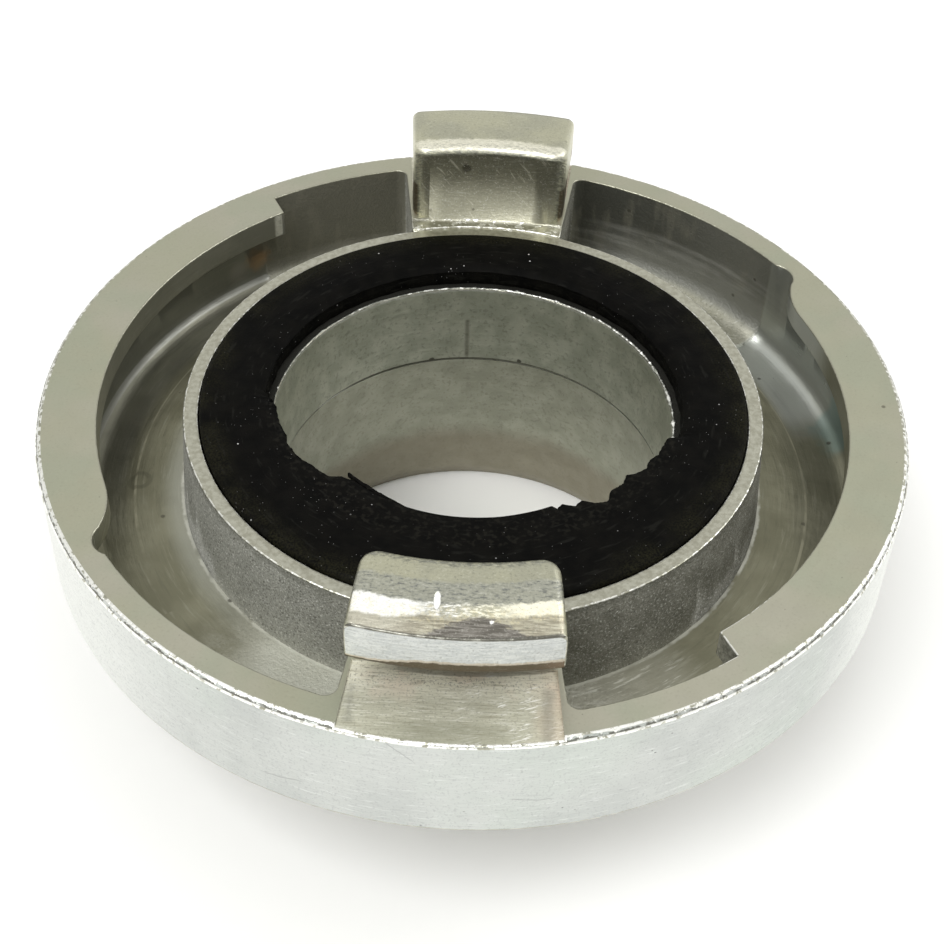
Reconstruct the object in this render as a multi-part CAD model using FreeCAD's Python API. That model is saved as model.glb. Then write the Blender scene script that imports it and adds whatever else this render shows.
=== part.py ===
"""Fire hose reducer: a two-lug coupling of the 75 mm size above a 2 1/2 inch pipe thread.

One aluminium casting with a rubber lip seal in its face. The axis of the waterway is Z, the threaded
end stands on Z = 0 and the lugs stand up on the +Y and -Y sides. All sizes are in millimetres and
all angles in degrees, counted from +X towards +Y.
"""
import FreeCAD, Part
import math
import os

from FreeCAD import Vector

# Radii of the lug coupling, each from the one inside it
lug_spacing = 89.0            # across the inner faces of the two lugs
collar_ledge_width = 2.2      # from the collar's rim out to the lug's inner face
collar_rim_width = 2.2
collar_draft = 1.1            # how much the collar widens down to its foot
neck_thickness = 6.1          # radial thickness of the lug below its hook
neck_clearance = 3.8          # from the neck out to the inner edge of a flange
hook_overlap = 2.6            # how far the hook reaches over a flange
hook_clearance = 1.65         # from the hook out to the narrow rim
rim_width = 4.35              # wall of the ring where it has no flange

# Heights of the lug coupling
channel_depth = 15.4
channel_step = 0.5            # the flange cutter's pass is this much deeper
floor_thickness = 3.1
flange_thickness_entry = 3.5  # where a mating hook enters
flange_thickness_stop = 4.5   # where it stops
hook_gap = 1.2                # from a flange's thickness up to the hook's underside
hook_edge_height = 6.7        # height of the hook's outer face
hook_edge_round = 1.2         # along that face's lower edge
hook_crown = 0.6              # fall of the lug's top from its flat to that face
collar_drop = 0.9             # the collar's rim lies this far below the face
ledge_drop = 0.6

# Lugs and the pads that carry them
lug_half_width = 12.3         # at the inner face
lug_flank_angle = 5.5
lug_corner_round = 2.3        # upright corners of the inner face
lug_turn = 90.0               # the lug's profile is turned this far, then trimmed to its flanks
lug_flat_width = 4.6          # flat top, from the inner edge's round to the start of the crown
lug_edge_round = 1.3          # along the inner edge and the top of each flank
lug_foot_fillet = 0.95
pad_margin = 0.35             # the pad is this much wider than the lug on each side, at the inner face
pad_flank_angle = 8.0
pad_fillet = 1.6
milled_depth = 0.35           # of the strip in front of the lug, as wide as the lug

# Flanges, counted from the right-hand lug line
flange_stop_angle = -53.0     # square end
flange_stop_skew = 1.0        # the square end leans this much from its outer to its inner corner
flange_entry_angle = 24.2     # where the inner edge starts to curve out
flange_entry_round = 12.5     # radius of that curve
flange_root = 1.45            # how deep a flange is rooted in the rim
ramp_runs = 8                 # straight runs in the flange's underside
run_out_radius = 3.2          # the cutter's round run-out past the entry curve
run_out_depth = 0.72          # at the face; it runs out to nothing above the channel's floor
run_out_start = 0.1           # its lower end starts this far off the wall
pass_start_angle = -50.0      # the flange cutter's pass in the channel's floor begins below the flange
pass_end_angle = 37.8         # and ends past the entry curve

# Seal groove and seal
land_width = 3.0              # top of the tube between waterway and groove
land_drop = 3.3               # below the face
groove_depth = 9.8
seal_clearance = 0.15
seal_crest_drop = 0.15        # the seal's outer crest lies this far below the face
seal_slope_drop = 0.55        # further fall of its top from the crest to the lip's edge
seal_edge_round = 0.8
lip_reach = 5.2               # how far the lip reaches over the waterway where it is whole
lip_edge_thickness = 1.5
lip_root_overlap = 1.0
seal_torn_edge = 1.1          # from the waterway out to the edge where the lip is gone

# Waterway, wrench hexagon and threaded spigot
waterway_radius = 29.3
upper_bore_depth = 17.7       # from the face down to the line where the two borings meet
bore_line_depth = 0.35
bore_line_width = 0.5
lower_bore_draft = 2.2        # how much the lower bore widens towards the threaded end
mouth_flare = 1.6
mouth_flare_height = 3.4
thread_radius = 37.6
thread_length = 19.0
thread_chamfer = 1.6
relief_width = 3.0
relief_depth = 2.1
wrench_height = 7.0
wrench_flat_height = 4.4      # from the thread out to the hexagon's flats
wrench_corner_cut = 1.0

# Small edges
ring_edge_chamfer = 0.6
ring_base_chamfer = 1.2
channel_fillet = 3.2
hub_cone = 3.0                # where the ring's underside meets the hexagon
thread_edge_break = 0.3
round_runs = 3                # straight runs in which a small round is turned
lip_back_runs = 12            # straight runs behind the torn lip, inside the seal's foot

# Where the seal's lip is torn: angle, then how far it still reaches over the waterway
left_tear = [(181.0, 0.0), (187.5, 0.5), (194.0, 0.75), (200.5, 1.2), (203.0, 0.85), (210.0, 1.3),
             (216.0, 2.4), (222.5, 3.1), (225.0, 4.5), (231.0, lip_reach + lip_root_overlap)]
right_tear = [(298.0, lip_reach + lip_root_overlap), (300.0, 4.4), (302.5, 4.9), (305.5, 3.6),
              (308.5, 3.9), (312.0, 2.1), (315.5, 1.6), (317.5, 2.6), (324.0, 2.5), (327.0, 2.9),
              (330.0, 1.9), (333.0, 1.1), (336.0, 1.6), (341.0, 0.8), (346.0, 0.6), (350.0, 0.0)]

# Worked out from the sizes above
lug_inner_radius = lug_spacing / 2
collar_rim_radius = lug_inner_radius - collar_ledge_width
collar_bore_radius = collar_rim_radius - collar_rim_width
collar_foot_radius = collar_rim_radius + collar_draft
neck_radius = lug_inner_radius + neck_thickness
flange_radius = neck_radius + neck_clearance
lug_outer_radius = flange_radius + hook_overlap
rim_radius = lug_outer_radius + hook_clearance
flange_root_radius = rim_radius + flange_root
ring_radius = rim_radius + rim_width
wrench_flat_radius = thread_radius + wrench_flat_height
wrench_corner_radius = wrench_flat_radius / math.cos(math.radians(30))
shoulder_z = thread_length + relief_width
ring_base_z = shoulder_z + wrench_height
face_z = ring_base_z + floor_thickness + channel_step + channel_depth
channel_floor_z = face_z - channel_depth
hook_underside_z = face_z + flange_thickness_stop + hook_gap
hook_edge_z = hook_underside_z + hook_edge_height
lug_top_z = hook_edge_z + hook_crown
milled_z = face_z - milled_depth
land_z = face_z - land_drop
groove_z = face_z - groove_depth
land_radius = waterway_radius + land_width
bore_line_z = face_z - upper_bore_depth
above = 5.0                   # how far cutting tools reach past the metal
tolerance = 0.01              # for telling edges apart


def polar(radius, angle, z=0.0):
    """The point at a radius and an angle about the waterway's axis."""
    return Vector(radius * math.cos(math.radians(angle)), radius * math.sin(math.radians(angle)), z)


def rounded(start, corner, end):
    """Quarter round in an outline from start to end, along the two edges that meet in the corner."""
    centre = (start[0] + end[0] - corner[0], start[1] + end[1] - corner[1])
    points = []
    for n in range(round_runs + 1):
        turn = math.radians(90 * n / round_runs)
        from_start = math.cos(turn)
        from_end = math.sin(turn)
        points.append((centre[0] + from_start * (start[0] - centre[0]) + from_end * (end[0] - centre[0]),
                       centre[1] + from_start * (start[1] - centre[1]) + from_end * (end[1] - centre[1])))
    return points


def revolve(outline, turn=360):
    """Turn a closed outline of (radius, z) points about the waterway's axis."""
    points = [Vector(radius, 0, z) for radius, z in outline]
    face = Part.Face(Part.makePolygon(points + points[:1]))
    return face.revolve(Vector(0, 0, 0), Vector(0, 0, 1), turn)


def prism(points, low_z, high_z):
    """Raise a closed outline of (x, y) points from one height to another."""
    corners = [Vector(x, y, low_z) for x, y in points]
    return Part.Face(Part.makePolygon(corners + corners[:1])).extrude(Vector(0, 0, high_z - low_z))


def both_sides(shape):
    """The shape and its copy half a turn round the axis."""
    copy = shape.copy()
    copy.rotate(Vector(0, 0, 0), Vector(0, 0, 1), 180)
    return [shape, copy]


def half_width(inner_half, flank_angle, radius):
    """Half the width, at a radius, of a shape on +Y that widens outwards from the lug's inner face."""
    return inner_half + math.tan(math.radians(flank_angle)) * (radius - lug_inner_radius)


def lug_plan(inner_radius, outer_radius):
    """Outline in plan of a lug on +Y, its flanks opening outwards."""
    inner_half = half_width(lug_half_width, lug_flank_angle, inner_radius)
    outer_half = half_width(lug_half_width, lug_flank_angle, outer_radius)
    return [(-inner_half, inner_radius), (inner_half, inner_radius),
            (outer_half, outer_radius), (-outer_half, outer_radius)]


def turned_blank():
    """The casting before the channels are cut: ring, collar, hub and spigot in one turned solid."""
    relief_radius = thread_radius - relief_depth
    relief_z = thread_length - thread_edge_break
    outline = [
        (waterway_radius - above, 0),
        (thread_radius - thread_chamfer, 0),
        (thread_radius, thread_chamfer),
        (thread_radius, relief_z),
        (relief_radius, relief_z + relief_depth / 2),
        (relief_radius, shoulder_z),
        (thread_radius, shoulder_z),
        (thread_radius, ring_base_z - hub_cone),
        (wrench_corner_radius, ring_base_z - hub_cone),
        (wrench_corner_radius + hub_cone, ring_base_z),
        (ring_radius - ring_base_chamfer, ring_base_z),
        (ring_radius, ring_base_z + ring_base_chamfer),
        (ring_radius, face_z - ring_edge_chamfer),
        (ring_radius - ring_edge_chamfer, face_z),
        (lug_inner_radius, face_z),
        (lug_inner_radius, face_z - ledge_drop),
        (collar_rim_radius, face_z - ledge_drop),
        (collar_rim_radius, face_z - collar_drop),
        (waterway_radius - above, face_z - collar_drop),
    ]
    return revolve(outline)


def wrench_hexagon():
    """Hexagon behind the ring, its lower corners turned off."""
    corners = [polar(wrench_corner_radius, 60 * n) for n in range(6)]
    hexagon = prism([(corner.x, corner.y) for corner in corners], shoulder_z, ring_base_z)
    cut_radius = wrench_flat_radius - wrench_corner_cut
    turned_off = revolve([
        (0, shoulder_z),
        (cut_radius, shoulder_z),
        (wrench_corner_radius, shoulder_z + (wrench_corner_radius - cut_radius) / 2),
        (wrench_corner_radius, ring_base_z),
        (0, ring_base_z),
    ])
    return hexagon.common(turned_off)


def channel_void():
    """The space between collar and ring, interrupted by the two pads that carry the lugs."""
    draft_slope = collar_draft / (channel_depth - collar_drop)
    outline = [(collar_foot_radius, channel_floor_z)] + wall_foot(channel_floor_z)
    outline += [(rim_radius, face_z + above),
                (collar_foot_radius - draft_slope * (channel_depth + above), face_z + above)]
    return revolve(outline).cut(Part.makeCompound(both_sides(pad())))


def wall_foot(floor_z):
    """Outline of the fillet between a channel's floor and the ring's wall."""
    return rounded((rim_radius - channel_fillet, floor_z), (rim_radius, floor_z),
                   (rim_radius, floor_z + channel_fillet))


def cutter_pass():
    """The flange cutter's deeper pass along a channel's floor, from below the flange past its entry."""
    deep_z = channel_floor_z - channel_step
    top_z = channel_floor_z + channel_fillet
    outline = [(neck_radius, channel_floor_z), (neck_radius + channel_step, deep_z)] + wall_foot(deep_z)
    outline += [(rim_radius, top_z), (neck_radius, top_z)]
    swept = revolve(outline, pass_end_angle - pass_start_angle)
    swept.rotate(Vector(0, 0, 0), Vector(0, 0, 1), pass_start_angle)
    return swept


def pad():
    """Tool in the shape of a lug's pad, its flanks curving out into the ring's wall."""
    inner = collar_bore_radius
    slope = math.radians(pad_flank_angle)
    inner_half = half_width(lug_half_width + pad_margin, pad_flank_angle, inner)
    # the fillet's centre lies its own radius off the flank and off the ring's wall
    centre_reach = rim_radius - pad_fillet
    offset = inner_half + pad_fillet / math.cos(slope) - inner * math.tan(slope)
    turn = math.asin(offset * math.cos(slope) / centre_reach) + slope
    centre = Vector(centre_reach * math.sin(turn), centre_reach * math.cos(turn), 0)
    on_flank = centre + Vector(-math.cos(slope), math.sin(slope), 0) * pad_fillet
    on_wall = centre * (rim_radius / centre_reach)
    between = centre + (on_flank + on_wall - centre * 2).normalize() * pad_fillet
    outer = on_wall + centre * (above / centre_reach)
    mirror = [Vector(-point.x, point.y, 0) for point in (on_flank, between, on_wall, outer)]
    foot = Vector(inner_half, inner, 0)
    far_foot = Vector(-inner_half, inner, 0)
    plan = Part.Face(Part.Wire([
        Part.makeLine(far_foot, foot),
        Part.makeLine(foot, on_flank),
        Part.Arc(on_flank, between, on_wall).toShape(),
        Part.makeLine(on_wall, outer),
        Part.makeLine(outer, mirror[3]),
        Part.makeLine(mirror[3], mirror[2]),
        Part.Arc(mirror[2], mirror[1], mirror[0]).toShape(),
        Part.makeLine(mirror[0], far_foot),
    ]))
    plan.translate(Vector(0, 0, ring_base_z))
    return plan.extrude(Vector(0, 0, face_z + 2 * above - ring_base_z))


def flange():
    """One inward flange: square at its stop, curved out at its entry, with a ramped underside."""
    inner_stop = flange_stop_angle + flange_stop_skew
    curve_centre = polar(flange_radius + flange_entry_round, flange_entry_angle)
    entry_end = flange_entry_angle + entry_span(flange_root_radius)
    start = polar(flange_radius, flange_entry_angle)
    end = polar(flange_root_radius, entry_end)
    bulge = (start + end - curve_centre * 2).normalize() * flange_entry_round
    edges = [
        Part.Arc(polar(flange_radius, inner_stop), polar(flange_radius, 0), start).toShape(),
        Part.Arc(start, curve_centre + bulge, end).toShape(),
        Part.Arc(end, polar(flange_root_radius, 0),
                 polar(flange_root_radius, flange_stop_angle)).toShape(),
        Part.makeLine(polar(flange_root_radius, flange_stop_angle), polar(flange_radius, inner_stop)),
    ]
    plate = Part.Face(Part.Wire(edges))
    plate.translate(Vector(0, 0, face_z - flange_thickness_stop))
    return plate.extrude(Vector(0, 0, flange_thickness_stop)).cut(flange_ramp())


def entry_span(radius):
    """Angle about the axis from the start of the entry curve to where it reaches a radius."""
    centre_radius = flange_radius + flange_entry_round
    cosine = (centre_radius ** 2 + radius ** 2 - flange_entry_round ** 2) / (2 * centre_radius * radius)
    return math.degrees(math.acos(cosine))


def flange_ramp():
    """The wedge below a flange: its top climbs evenly from the stop to the entry."""
    last = flange_entry_angle + entry_span(flange_root_radius) + flange_stop_skew
    rise = (flange_thickness_stop - flange_thickness_entry) / (last - flange_stop_angle)
    sections = []
    run = (last - flange_stop_angle) / ramp_runs
    for angle in (flange_stop_angle + n * run for n in range(-1, ramp_runs + 1)):
        top = face_z - flange_thickness_stop + rise * (angle - flange_stop_angle)
        low = channel_floor_z
        corners = [polar(neck_radius, angle, low), polar(ring_radius, angle, low),
                   polar(ring_radius, angle, top), polar(neck_radius, angle, top)]
        sections.append(Part.makePolygon(corners + corners[:1]))
    return Part.makeLoft(sections, True, False)


def run_out():
    """Round run-out of the flange cutter in the narrow rim, tapered so that it is deepest at the face."""
    half_chord = math.sqrt(run_out_radius ** 2 - (run_out_radius - run_out_depth) ** 2)
    angle = flange_entry_angle + entry_span(rim_radius) + math.degrees(half_chord / rim_radius)
    low = polar(rim_radius + run_out_depth - run_out_radius, angle, channel_floor_z + channel_fillet)
    low_radius = run_out_radius - run_out_depth - run_out_start
    slope = (run_out_radius - low_radius) / (face_z - low.z)
    height = channel_depth
    return Part.makeCone(low_radius, low_radius + slope * height, height, low)


def lug():
    """Hooked lug on +Y: a curved profile turned about the axis and trimmed to straight flanks."""
    flat_end = lug_inner_radius + lug_edge_round + lug_flat_width
    foot_radius = neck_radius + lug_foot_fillet
    base_z = milled_z - ledge_drop
    top = [(lug_inner_radius, base_z), (lug_inner_radius, lug_top_z),
           (flat_end, lug_top_z), (lug_outer_radius, hook_edge_z)]
    hook = rounded((lug_outer_radius, hook_underside_z + hook_edge_round),
                   (lug_outer_radius, hook_underside_z),
                   (lug_outer_radius - hook_edge_round, hook_underside_z))
    hook.append((neck_radius, hook_underside_z))
    foot = rounded((neck_radius, milled_z + lug_foot_fillet), (neck_radius, milled_z),
                   (foot_radius, milled_z)) + [(foot_radius, base_z)]
    points = [Vector(radius, 0, z) for radius, z in top + hook + foot]
    edges = [Part.makeLine(*pair) for pair in zip(points, points[1:] + points[:1])]
    # the crown is an arc that leaves the flat top without a crease
    reach = lug_outer_radius - flat_end
    crown_radius = (reach ** 2 + hook_crown ** 2) / (2 * hook_crown)
    half_turn = math.asin(reach / crown_radius) / 2
    between = Vector(flat_end + crown_radius * math.sin(half_turn), 0,
                     lug_top_z - crown_radius * (1 - math.cos(half_turn)))
    edges[2] = Part.Arc(points[2], between, points[3]).toShape()
    turned = Part.Face(Part.Wire(edges)).revolve(Vector(0, 0, 0), Vector(0, 0, 1), lug_turn)
    turned.rotate(Vector(0, 0, 0), Vector(0, 0, 1), 90 - lug_turn / 2)
    trim = prism(lug_plan(lug_inner_radius - above, ring_radius), base_z - above, lug_top_z + above)
    trimmed = turned.common(trim)
    cornered = trimmed.makeFillet(lug_corner_round, [edge for edge in trimmed.Edges if is_corner(edge)])
    return cornered.makeFillet(lug_edge_round, [edge for edge in cornered.Edges if is_rounded(edge)])


def on_inner_face(point):
    """True for a point on the turned inner face of a lug."""
    return abs(math.hypot(point.x, point.y) - lug_inner_radius) < tolerance


def is_corner(edge):
    """True for the two upright edges of a lug's inner face."""
    start, end = edge.Vertexes[0].Point, edge.Vertexes[-1].Point
    return on_inner_face(start) and on_inner_face(end) and abs(start.z - end.z) > tolerance


def is_rounded(edge):
    """True for the edges round a lug's top, but not for the one above the hook's outer face."""
    start, end = edge.Vertexes[0].Point, edge.Vertexes[-1].Point
    inner = on_inner_face(start) and on_inner_face(end)
    flank = start.x * end.x > 0
    return (inner or flank) and min(start.z, end.z) > hook_edge_z - tolerance


def milled_strip():
    """Shallow cut through the ring's face in front of a lug."""
    return prism(lug_plan(neck_radius, ring_radius + above), milled_z, hook_underside_z)


def seal_groove():
    """Groove between the collar and the tube round the waterway, with the tube's land."""
    return revolve([
        (0, land_z),
        (land_radius, land_z),
        (land_radius, groove_z),
        (collar_bore_radius, groove_z),
        (collar_bore_radius, face_z + above),
        (0, face_z + above),
    ])


def waterway():
    """Through bore: bored straight from the face, drafted from the threaded end, flared at its mouth."""
    lower_top = waterway_radius + bore_line_depth / 2
    lower_end = lower_top + lower_bore_draft
    line_radius = waterway_radius + bore_line_depth
    return revolve([
        (0, -above),
        (lower_end + mouth_flare + above * mouth_flare / mouth_flare_height, -above),
        (lower_end, mouth_flare_height),
        (lower_top, bore_line_z - bore_line_width),
        (line_radius, bore_line_z - bore_line_width),
        (line_radius, bore_line_z),
        (waterway_radius, bore_line_z),
        (waterway_radius, face_z + above),
        (0, face_z + above),
    ])


def coupling_body():
    """The whole casting: turned blank, channels, flanges, lugs, seal groove and waterway."""
    body = turned_blank().fuse(wrench_hexagon())
    body = body.cut(channel_void()).cut(both_sides(cutter_pass()))
    body = body.fuse(both_sides(flange()))
    body = body.cut(both_sides(run_out()) + both_sides(milled_strip()))
    body = body.fuse(both_sides(lug()))
    body = body.cut([seal_groove(), waterway()])
    return body.removeSplitter()


def seal_ring():
    """Rubber seal: a foot in the groove, a flat crest, and a lip whose inner edge is partly torn off."""
    foot_inner = land_radius + seal_clearance
    foot_outer = collar_bore_radius - seal_clearance
    crest_z = face_z - seal_crest_drop
    slope_z = crest_z - seal_slope_drop / 2
    torn_radius = waterway_radius + seal_torn_edge
    lip_radius = waterway_radius - lip_reach
    lip_z = crest_z - seal_slope_drop
    outline = [(foot_inner, groove_z), (foot_outer, groove_z)]
    outline += rounded((foot_outer, crest_z - seal_edge_round), (foot_outer, crest_z),
                       (foot_outer - seal_edge_round, crest_z))
    outline += [(land_radius, crest_z), (torn_radius, slope_z), (torn_radius, land_z), (foot_inner, land_z)]
    lip = revolve([
        (torn_radius + lip_root_overlap, land_z),
        (torn_radius + lip_root_overlap, slope_z),
        (torn_radius, slope_z),
        (lip_radius, lip_z),
        (lip_radius, lip_z - lip_edge_thickness),
        (waterway_radius, land_z),
    ])
    return revolve(outline).fuse(lip.common(remaining_lip())).removeSplitter()


def remaining_lip():
    """Prism over the stretch where the lip is still there, between its two torn ends."""
    edge = [polar(waterway_radius - reach, angle) for angle, reach in left_tear + right_tear]
    root = waterway_radius + seal_torn_edge + 2 * lip_root_overlap
    last = right_tear[-1][0]
    first = left_tear[0][0]
    back = [polar(root, last + (first - last) * n / lip_back_runs) for n in range(lip_back_runs + 1)]
    return prism([(point.x, point.y) for point in edge + back], groove_z, face_z + above)


def main():
    os.makedirs("parts", exist_ok=True)
    coupling_body().exportStep("parts/coupling_body.step")
    seal_ring().exportStep("parts/seal_ring.step")


main()
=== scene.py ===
"""Looks of a fire hose reducer: worn cast aluminium, a torn rubber lip seal and a pipe thread."""
import bmesh
import bpy
import math

from mathutils import Matrix, Vector, noise


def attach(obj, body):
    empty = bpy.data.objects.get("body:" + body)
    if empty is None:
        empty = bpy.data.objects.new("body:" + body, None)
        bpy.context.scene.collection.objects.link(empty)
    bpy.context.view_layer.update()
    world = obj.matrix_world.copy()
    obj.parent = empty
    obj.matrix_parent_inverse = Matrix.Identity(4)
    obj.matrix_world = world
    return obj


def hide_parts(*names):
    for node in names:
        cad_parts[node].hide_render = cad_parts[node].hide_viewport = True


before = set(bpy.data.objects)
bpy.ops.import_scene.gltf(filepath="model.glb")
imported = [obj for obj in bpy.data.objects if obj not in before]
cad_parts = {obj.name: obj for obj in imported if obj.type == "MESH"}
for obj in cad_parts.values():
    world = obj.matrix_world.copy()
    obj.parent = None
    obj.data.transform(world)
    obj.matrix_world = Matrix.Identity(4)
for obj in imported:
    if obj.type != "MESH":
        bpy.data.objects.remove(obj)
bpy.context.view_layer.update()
MM = 0.001

# Sizes of the CAD model that the pieces below follow, in millimetres
FACE_Z = 48.0
RING_BASE_Z = 29.0
RING_R = 63.0
HOOK_R = 57.0
LUG_INNER_R = 44.5
HOOK_UNDER_Z = 53.7
HOOK_Z = 60.4
COLLAR_RIM_R = 42.3
COLLAR_BORE_R = 40.1
COLLAR_FOOT_R = 43.4
CHANNEL_FLOOR_Z = 32.6
WATERWAY_R = 29.3
LAND_R = 32.3
LAND_Z = 44.7
GROOVE_Z = 38.2
BORE_LINE_Z = 30.3
SEAL_CREST_Z = 47.85
SEAL_FALL = 0.55
LIP_REACH = 5.2
LIP_THICKNESS = 1.5
TORN_EDGE = 1.1
SEAL_ROUND = 0.8
SEAL_CLEARANCE = 0.15
THREAD_R = 37.55
THREAD_ROOT_R = 36.05
THREAD_PITCH = 2.309
THREAD_END_Z = 18.7
THREAD_CHAMFER = 1.6
THREAD_FADE = 1.6             # length over which the thread runs out at its relief
PASS_R = 50.72                # inner edge of the cutter's pass in the channels
GAP_ANGLE = 83.9              # middle of the gap between a flange's entry and the next stop
ENTRY_ANGLE = 30.0            # a little inside each flange's entry
LUG_LEAN = 0.2                # the cast lugs stand this much towards +X
LUG_HALF_WIDTH = 17.5         # a little more than half of a pad
STRIP_DEPTH = 0.45            # a little more than the milled strips' depth
EDGE_WIDTH = 0.22             # broken edges of the casting
STAND_OFF = 0.02              # keeps the seal's faces off the casting's
SLIVER_START = 224.0          # angle at which the split strip of the lip begins
SLIVER_SPAN = 33.0            # and how many degrees it runs on

# Places of single marks, in millimetres, and what bare metal looks like
PALE_FLOOR = (-20.5, -42.0, 32.6)
SCUFFED_FLOOR = (24.0, -41.0, 32.6)
DARK_ENTRY = (46.5, 30.5, 44.0)
FRONT_STOP = (37.2, -43.6, 45.0)
FRONT_STOP_EDGE = (37.2, -43.6, 47.8)
STAIN = (-38.7, 44.1, 37.3)
STAIN_HAZE = (-41.5, 41.0, 36.5)
TEAL_REFLECTION = (57.2, 12.9, 34.2)
FAINT_RING = (-49.8, -5.8, 32.4)
BACK_LUG_MARK = (-3.6, 44.5, 57.4)
FRONT_LUG_FLECK = (4.4, -54.4, 60.75)
BORE_SPOTS = (((-3.0, 29.7, 11.5), 1.0), ((6.5, 28.6, 30.6), 0.5), ((-8.0, 28.2, 30.2), 0.6))
RING_SCRATCHES = ((-6.8, 46.4, 0.9), (10.5, 36.5, 0.15), (-21.0, 34.5, -0.2))  # x, z and lean
BARE_METAL = (1.0, 1.0, 0.96)
BARE_LUG = (1.0, 1.0, 0.97)

# Torn lip: angle in degrees, then how far the lip still reaches over the waterway
LEFT_TEAR = ((181.0, 0.0), (187.5, 0.5), (194.0, 0.75), (200.5, 1.2), (203.0, 0.85),
             (210.0, 1.3), (216.0, 2.4), (222.5, 3.1), (225.0, 4.5), (229.0, LIP_REACH))
RIGHT_TEAR = ((299.0, LIP_REACH), (300.0, 4.4), (302.5, 4.9), (305.5, 3.6), (308.5, 3.9),
              (312.0, 2.1), (315.5, 1.6), (317.5, 2.6), (324.0, 2.5), (327.0, 2.9), (330.0, 1.9),
              (333.0, 1.1), (336.0, 1.6), (341.0, 0.8), (346.0, 0.6), (350.0, 0.0))

# Camera, from the photograph's perspective: place, axes (right, up, back) and lens
CAMERA_AT = (0.004807, -0.183557, 0.211255)
CAMERA_AXES = ((0.998462, -0.052271, 0.018464),
               (0.0497, 0.696493, -0.715841),
               (0.024557, 0.715658, 0.698019))
LENS = 63.99


def new_object(name, mesh):
    """Link a mesh as a piece that rides on the part."""
    piece = bpy.data.objects.new(name, mesh)
    bpy.context.scene.collection.objects.link(piece)
    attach(piece, "root")
    return piece


def mesh_from(name, points, faces, smooth=True):
    """A mesh from points in millimetres and faces, its normals turned outwards."""
    mesh = bpy.data.meshes.new(name)
    mesh.from_pydata([[value * MM for value in point] for point in points], [], faces)
    bm = bmesh.new()
    bm.from_mesh(mesh)
    bmesh.ops.recalc_face_normals(bm, faces=bm.faces)
    bm.to_mesh(mesh)
    bm.free()
    for face in mesh.polygons:
        face.use_smooth = smooth
    return mesh


def ring_strip(count, width, closed=True):
    """Faces of a ring or a strip made of that many closed sections of that many points."""
    faces = []
    for n in range(count if closed else count - 1):
        low = n * width
        high = (n + 1) % count * width
        for k in range(width):
            over = (k + 1) % width
            faces.append((low + k, high + k, high + over, low + over))
    return faces


def polar(radius, angle, z):
    """The point at a radius and an angle, in degrees, about the waterway's axis."""
    return (radius * math.cos(math.radians(angle)), radius * math.sin(math.radians(angle)), z)


def wobble(angle, seed, waves, depth=2):
    """Smooth noise round the axis, between about -1 and 1, with about that many waves a turn."""
    turn = math.radians(angle)
    radius = waves / 6
    at = Vector((radius * math.cos(turn), radius * math.sin(turn), seed))
    return noise.fractal(at, 1.0, 2.0, depth)


# ---------------------------------------------------------------- materials

def connect(tree, socket, value):
    """Link a field to a socket, or set the socket to a number, a point or a colour."""
    if isinstance(value, Field):
        tree.links.new(value.socket, socket)
    elif socket.type == "RGBA":
        socket.default_value = (*value, 1)
    else:
        socket.default_value = value


class Field:
    """A value that varies over a surface; arithmetic with it adds nodes to its material."""

    def __init__(self, tree, socket):
        self.tree = tree
        self.socket = socket

    def math(self, operation, a, b=0.0):
        node = self.tree.nodes.new("ShaderNodeMath")
        node.operation = operation
        connect(self.tree, node.inputs[0], a)
        connect(self.tree, node.inputs[1], b)
        return Field(self.tree, node.outputs[0])

    def __add__(self, other):
        return self.math("ADD", self, other)

    def __sub__(self, other):
        return self.math("SUBTRACT", self, other)

    def __rsub__(self, other):
        return self.math("SUBTRACT", other, self)

    def __mul__(self, other):
        return self.math("MULTIPLY", self, other)

    def __truediv__(self, other):
        return self.math("DIVIDE", self, other)

    def __abs__(self):
        return self.math("ABSOLUTE", self)

    def step(self, low, high):
        """0 below low, 1 above high, smooth between; low may be the larger one."""
        node = self.tree.nodes.new("ShaderNodeMapRange")
        node.interpolation_type = "SMOOTHSTEP"
        connect(self.tree, node.inputs["Value"], self)
        node.inputs["From Min"].default_value = low
        node.inputs["From Max"].default_value = high
        return Field(self.tree, node.outputs["Result"])

    def band(self, low, high, soft):
        """1 between low and high, falling to 0 over soft outside them."""
        return self.step(low - soft, low) * self.step(high + soft, high)

    def between(self, low, high):
        """A value from 0 to 1 stretched to run from low to high."""
        return self * (high - low) + low


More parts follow.
